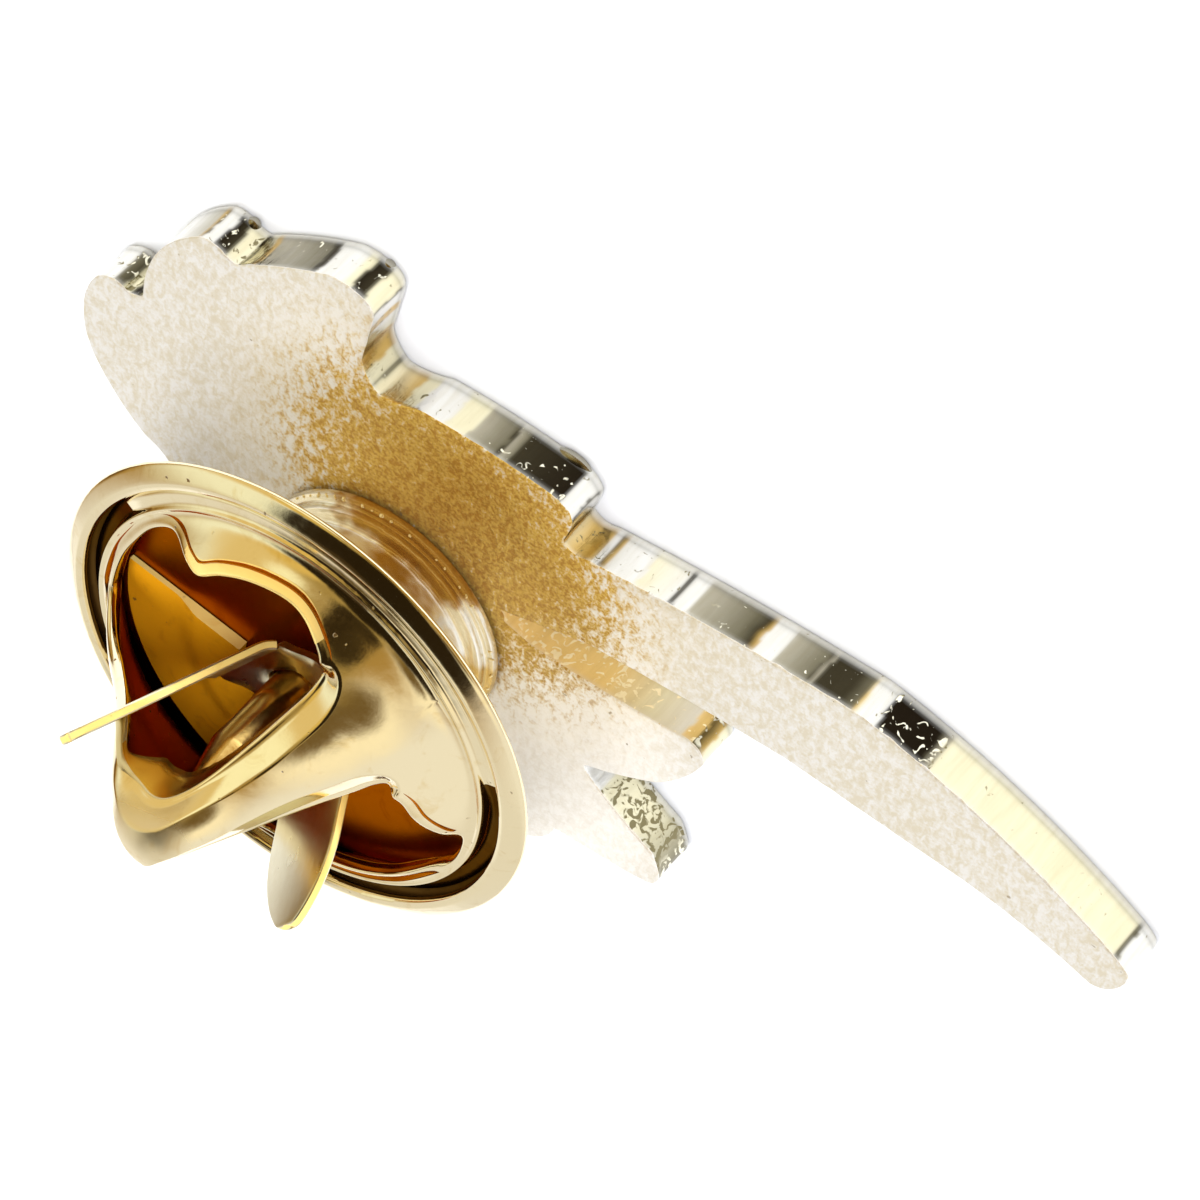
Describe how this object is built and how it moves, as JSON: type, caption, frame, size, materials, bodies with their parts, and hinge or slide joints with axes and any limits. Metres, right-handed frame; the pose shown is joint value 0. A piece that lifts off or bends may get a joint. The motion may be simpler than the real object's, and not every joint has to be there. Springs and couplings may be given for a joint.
{
  "type": "pin badge",
  "caption": "Cut-out metal lapel pin badge lying on its front face, with a butterfly clutch on its soldered post.",
  "frame": {"origin": "on the post's axis, at the plate's front face, which the badge lies on", "axes": "+Z along the post, from the front face to the clutch; +X along the long tail; +Y towards the plate's upper edge"},
  "size_m": [0.0253, 0.0141, 0.0093],
  "materials": {
    "plate_metal": "pale gold plating, matt sandblasted back, polished side walls",
    "clutch_metal": "polished brass-gold plating with small pits",
    "spring_metal": "satin spring metal with a thin gold wash"
  },
  "bodies": {
    "badge": {"badge_plate": "plate_metal"},
    "clutch": {"clutch_base": "clutch_metal", "clutch_cap": "clutch_metal", "spring_saddle": "spring_metal"},
    "wing_left": {"wing_a": "spring_metal"},
    "wing_right": {"wing_b": "spring_metal"}
  },
  "joints": [
    {"name": "clutch_slide", "type": "slide", "parent": "badge", "child": "clutch", "axis": [0, 0, 1], "range_m": [0, 0.008]},
    {"name": "wing_a_hinge", "type": "hinge", "parent": "clutch", "child": "wing_left", "pos_m": [-0.00104, 0.00059, 0.00481], "axis": [0.4939, 0.8695, 0], "range_deg": [0, 7], "stiffness_Nm_per_rad": 0.05},
    {"name": "wing_b_hinge", "type": "hinge", "parent": "clutch", "child": "wing_right", "pos_m": [0.00104, -0.00059, 0.00481], "axis": [-0.4939, -0.8695, 0], "range_deg": [0, 14], "stiffness_Nm_per_rad": 0.05}
  ]
}
